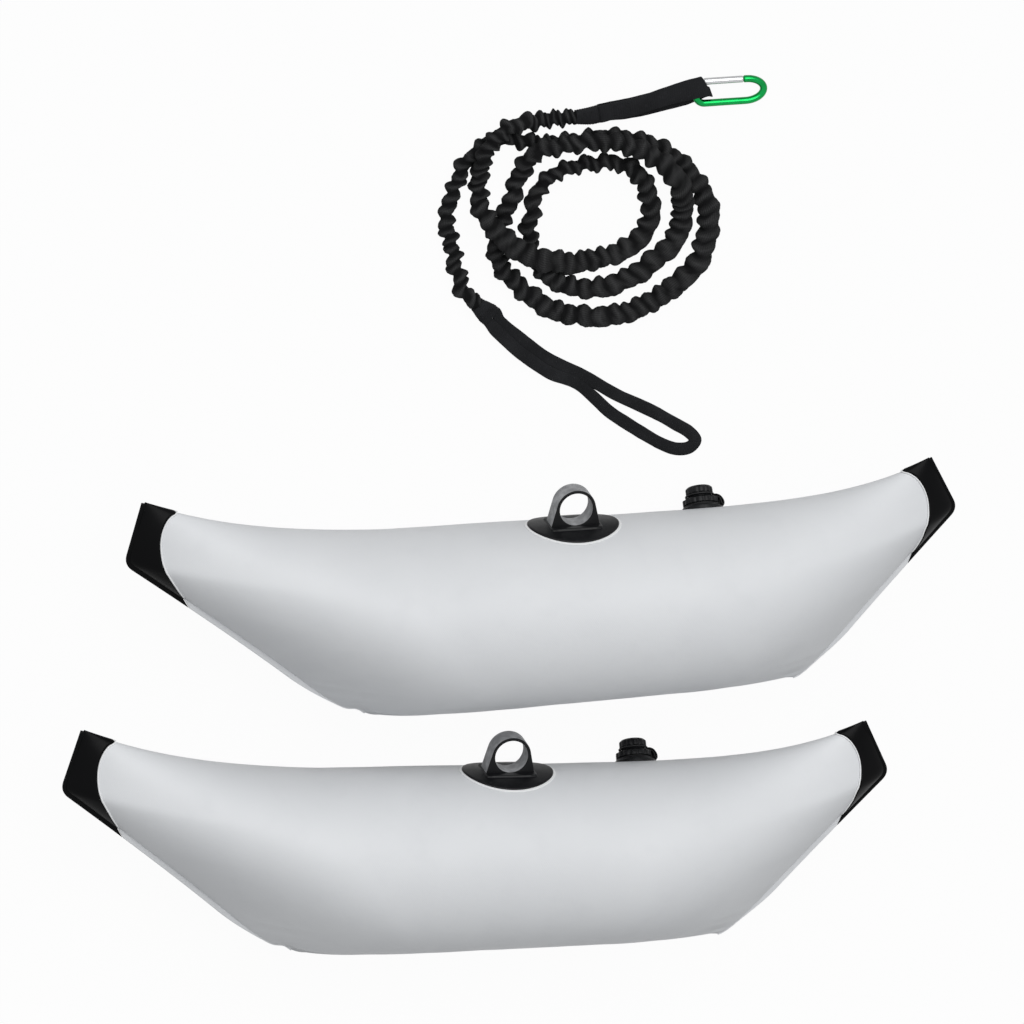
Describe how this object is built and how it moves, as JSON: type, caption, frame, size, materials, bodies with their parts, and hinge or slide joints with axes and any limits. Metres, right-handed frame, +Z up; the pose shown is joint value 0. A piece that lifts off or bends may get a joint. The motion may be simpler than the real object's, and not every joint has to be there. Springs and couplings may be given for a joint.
{
  "type": "kayak outrigger",
  "caption": "Inflatable outrigger floats for a kayak, with arm rings, black tip caps and air valves, and a coiled elastic leash that ends in a webbing hand loop and a carabiner",
  "frame": {"origin": "on the floor, under the middle of the laid-out kit", "axes": "+X along the floats, to the right in the picture; +Y along the floor, towards the leash, and the way both arm rings point; +Z up"},
  "size_m": [0.9984, 0.9965, 0.208],
  "materials": {
    "grey_vinyl": "light grey coated cloth, satin, with soft creases along the crimped seams",
    "black_vinyl": "black coated cloth, satin, welded over the tips",
    "weld_film": "pale clear weld film that shows as a thin rim round the ring's flange",
    "black_moulding": "moulded black plastic with softened edges",
    "soft_rubber": "soft black rubber",
    "black_cloth": "gathered black woven sleeve",
    "black_webbing": "black ribbed webbing",
    "elastic_rubber": "covered elastic cord, hidden",
    "green_anodising": "bright green anodised rod",
    "bright_metal": "bright polished metal"
  },
  "bodies": {
    "root": {"float_skin_a": "grey_vinyl", "end_cap_left_a": "black_vinyl", "end_cap_right_a": "black_vinyl", "ring_patch_a": "weld_film", "arm_ring_a": "black_moulding", "valve_base_a": "black_moulding", "float_skin_b": "grey_vinyl", "end_cap_left_b": "black_vinyl", "end_cap_right_b": "black_vinyl", "ring_patch_b": "weld_film", "arm_ring_b": "black_moulding", "valve_base_b": "black_moulding", "elastic_sleeve": "black_cloth", "elastic_core": "elastic_rubber", "hand_loop": "black_webbing", "sewn_end_loop": "black_webbing", "sewn_end_strap": "black_webbing", "carabiner_strap": "black_webbing"},
    "plug_seal_a": {"plug_gasket_a": "soft_rubber"},
    "plug_a": {"valve_plug_a": "black_moulding", "valve_flap_a": "soft_rubber", "cap_tether_a": "soft_rubber"},
    "cap_loop_a": {"tether_ring_a": "soft_rubber"},
    "cap_a": {"valve_cap_a": "black_moulding"},
    "plug_seal_b": {"plug_gasket_b": "soft_rubber"},
    "plug_b": {"valve_plug_b": "black_moulding", "valve_flap_b": "soft_rubber", "cap_tether_b": "soft_rubber"},
    "cap_loop_b": {"tether_ring_b": "soft_rubber"},
    "cap_b": {"valve_cap_b": "black_moulding"},
    "clip": {"strap_fold": "black_webbing", "carabiner_body": "green_anodising", "gate_pin": "bright_metal"},
    "gate": {"carabiner_gate": "bright_metal", "catch_pin": "bright_metal", "gate_plunger": "bright_metal", "gate_spring": "bright_metal"}
  },
  "joints": [
    {"name": "plug_lift_a", "type": "slide", "parent": "root", "child": "plug_seal_a", "axis": [0.0102, 0.7994, -0.6007], "range_m": [0, 0.003]},
    {"name": "plug_turn_a", "type": "hinge", "parent": "plug_seal_a", "child": "plug_a", "pos_m": [0.17046, -0.30172, 0.03964], "axis": [0.0102, 0.7994, -0.6007], "range_deg": [0, 361]},
    {"name": "cap_lift_a", "type": "slide", "parent": "plug_a", "child": "cap_loop_a", "axis": [0.0102, 0.7994, -0.6007], "range_m": [0, 0.00375]},
    {"name": "cap_turn_a", "type": "hinge", "parent": "cap_loop_a", "child": "cap_a", "pos_m": [0.17046, -0.30172, 0.03964], "axis": [0.0102, 0.7994, -0.6007], "range_deg": [0, 541]},
    {"name": "plug_lift_b", "type": "slide", "parent": "root", "child": "plug_seal_b", "axis": [-0.0297, 0.7989, -0.6007], "range_m": [0, 0.003]},
    {"name": "plug_turn_b", "type": "hinge", "parent": "plug_seal_b", "child": "plug_b", "pos_m": [0.22475, -0.00136, 0.03964], "axis": [-0.0297, 0.7989, -0.6007], "range_deg": [0, 361]},
    {"name": "cap_lift_b", "type": "slide", "parent": "plug_b", "child": "cap_loop_b", "axis": [-0.0297, 0.7989, -0.6007], "range_m": [0, 0.00375]},
    {"name": "cap_turn_b", "type": "hinge", "parent": "cap_loop_b", "child": "cap_b", "pos_m": [0.22475, -0.00136, 0.03964], "axis": [-0.0297, 0.7989, -0.6007], "range_deg": [0, 541]},
    {"name": "clip_flex", "type": "hinge", "parent": "root", "child": "clip", "pos_m": [0.1764, 0.47782, 0.0123], "axis": [0.1942, -0.981, 0], "range_deg": [0, 90]},
    {"name": "gate_swing", "type": "hinge", "parent": "clip", "child": "gate", "pos_m": [0.19976, 0.49439, 0.00635], "axis": [0, 0, -1], "range_deg": [0, 24], "stiffness_Nm_per_rad": 0.1, "springref_deg": -5.73}
  ],
  "couplings": [
    {"joint": "plug_turn_a", "follows": "plug_lift_a", "rad_per_m": 2094.4},
    {"joint": "cap_turn_a", "follows": "cap_lift_a", "rad_per_m": 2513.3},
    {"joint": "plug_turn_b", "follows": "plug_lift_b", "rad_per_m": 2094.4},
    {"joint": "cap_turn_b", "follows": "cap_lift_b", "rad_per_m": 2513.3}
  ]
}
